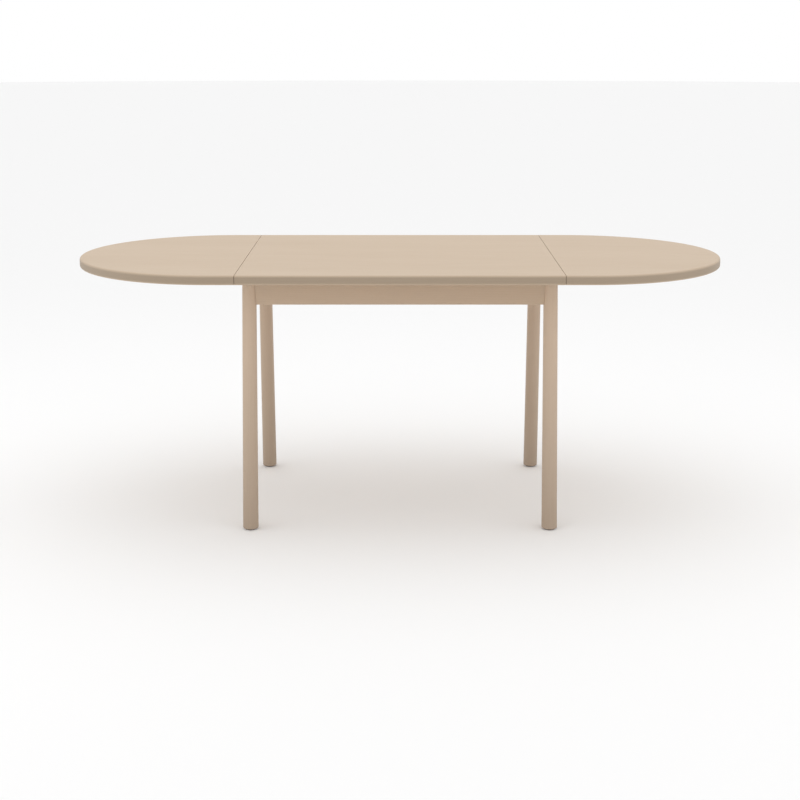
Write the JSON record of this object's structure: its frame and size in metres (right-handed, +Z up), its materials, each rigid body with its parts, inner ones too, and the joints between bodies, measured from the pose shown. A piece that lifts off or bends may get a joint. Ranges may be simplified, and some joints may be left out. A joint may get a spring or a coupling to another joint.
{
  "type": "drop-leaf table",
  "caption": "Wooden drop-leaf dining table: a straight centre section on round leaning legs, with round-ended leaves that fold down on prop gates.",
  "frame": {"origin": "on the floor under the middle of the top", "axes": "+X along the length, towards the right leaf; +Y to the rear; +Z up"},
  "size_m": [1.85, 0.82, 0.73],
  "materials": {
    "top_wood": "matt soaped pale wood, fine straight grain",
    "frame_wood": "matt soaped pale wood on legs and aprons",
    "inner_wood": "planed and left bare, for the hidden pieces",
    "zinc_steel": "zinc plated",
    "felt": "pressed felt"
  },
  "bodies": {
    "frame": {"centre_top": "top_wood", "leg_front_left": "frame_wood", "leg_rear_left": "frame_wood", "leg_front_right": "frame_wood", "leg_rear_right": "frame_wood", "foot_glide_front_left": "felt", "foot_glide_rear_left": "felt", "foot_glide_front_right": "felt", "foot_glide_rear_right": "felt", "apron_front": "frame_wood", "apron_rear": "frame_wood", "apron_left": "frame_wood", "apron_right": "frame_wood", "centre_rail": "inner_wood", "corner_block_front_left": "inner_wood", "corner_block_rear_left": "inner_wood", "corner_block_front_right": "inner_wood", "corner_block_rear_right": "inner_wood", "top_button_front_left": "inner_wood", "top_button_rear_left": "inner_wood", "top_button_front_right": "inner_wood", "top_button_rear_right": "inner_wood", "top_button_left": "inner_wood", "top_button_right": "inner_wood", "hinge_table_plate_left_front": "zinc_steel", "hinge_table_plate_left_rear": "zinc_steel", "hinge_table_plate_right_front": "zinc_steel", "hinge_table_plate_right_rear": "zinc_steel", "hinge_pin_left_front": "zinc_steel", "hinge_pin_left_rear": "zinc_steel", "hinge_pin_right_front": "zinc_steel", "hinge_pin_right_rear": "zinc_steel", "gate_bracket_left_front": "zinc_steel", "gate_bracket_left_rear": "zinc_steel", "gate_bracket_right_front": "zinc_steel", "gate_bracket_right_rear": "zinc_steel"},
    "leaf_left": {"leaf_left": "top_wood", "hinge_leaf_plate_left_front": "zinc_steel", "hinge_leaf_plate_left_rear": "zinc_steel", "leaf_batten_left_front": "inner_wood", "leaf_batten_left_rear": "inner_wood", "gate_keeper_left": "inner_wood", "leaf_bumper_left_front": "felt", "leaf_bumper_left_rear": "felt"},
    "gate_left": {"gate_arm_left_front": "inner_wood", "gate_arm_left_rear": "inner_wood", "gate_bar_left": "inner_wood", "gate_rod_left": "zinc_steel"},
    "leaf_right": {"leaf_right": "top_wood", "hinge_leaf_plate_right_front": "zinc_steel", "hinge_leaf_plate_right_rear": "zinc_steel", "leaf_batten_right_front": "inner_wood", "leaf_batten_right_rear": "inner_wood", "gate_keeper_right": "inner_wood", "leaf_bumper_right_front": "felt", "leaf_bumper_right_rear": "felt"},
    "gate_right": {"gate_arm_right_front": "inner_wood", "gate_arm_right_rear": "inner_wood", "gate_bar_right": "inner_wood", "gate_rod_right": "zinc_steel"}
  },
  "joints": [
    {"name": "leaf_left_fold", "type": "hinge", "parent": "frame", "child": "leaf_left", "pos_m": [-0.44, 0, 0.6995], "axis": [0, -1, 0], "range_deg": [0, 90]},
    {"name": "gate_left_swing", "type": "hinge", "parent": "frame", "child": "gate_left", "pos_m": [-0.416, 0, 0.654], "axis": [0, -1, 0], "range_deg": [0, 100.55]},
    {"name": "leaf_right_fold", "type": "hinge", "parent": "frame", "child": "leaf_right", "pos_m": [0.44, 0, 0.6995], "axis": [0, 1, 0], "range_deg": [0, 90]},
    {"name": "gate_right_swing", "type": "hinge", "parent": "frame", "child": "gate_right", "pos_m": [0.416, 0, 0.654], "axis": [0, 1, 0], "range_deg": [0, 100.55]}
  ],
  "couplings": [
    {"joint": "gate_left_swing", "follows": "leaf_left_fold", "ratio": 1.1172},
    {"joint": "gate_right_swing", "follows": "leaf_right_fold", "ratio": 1.1172}
  ]
}
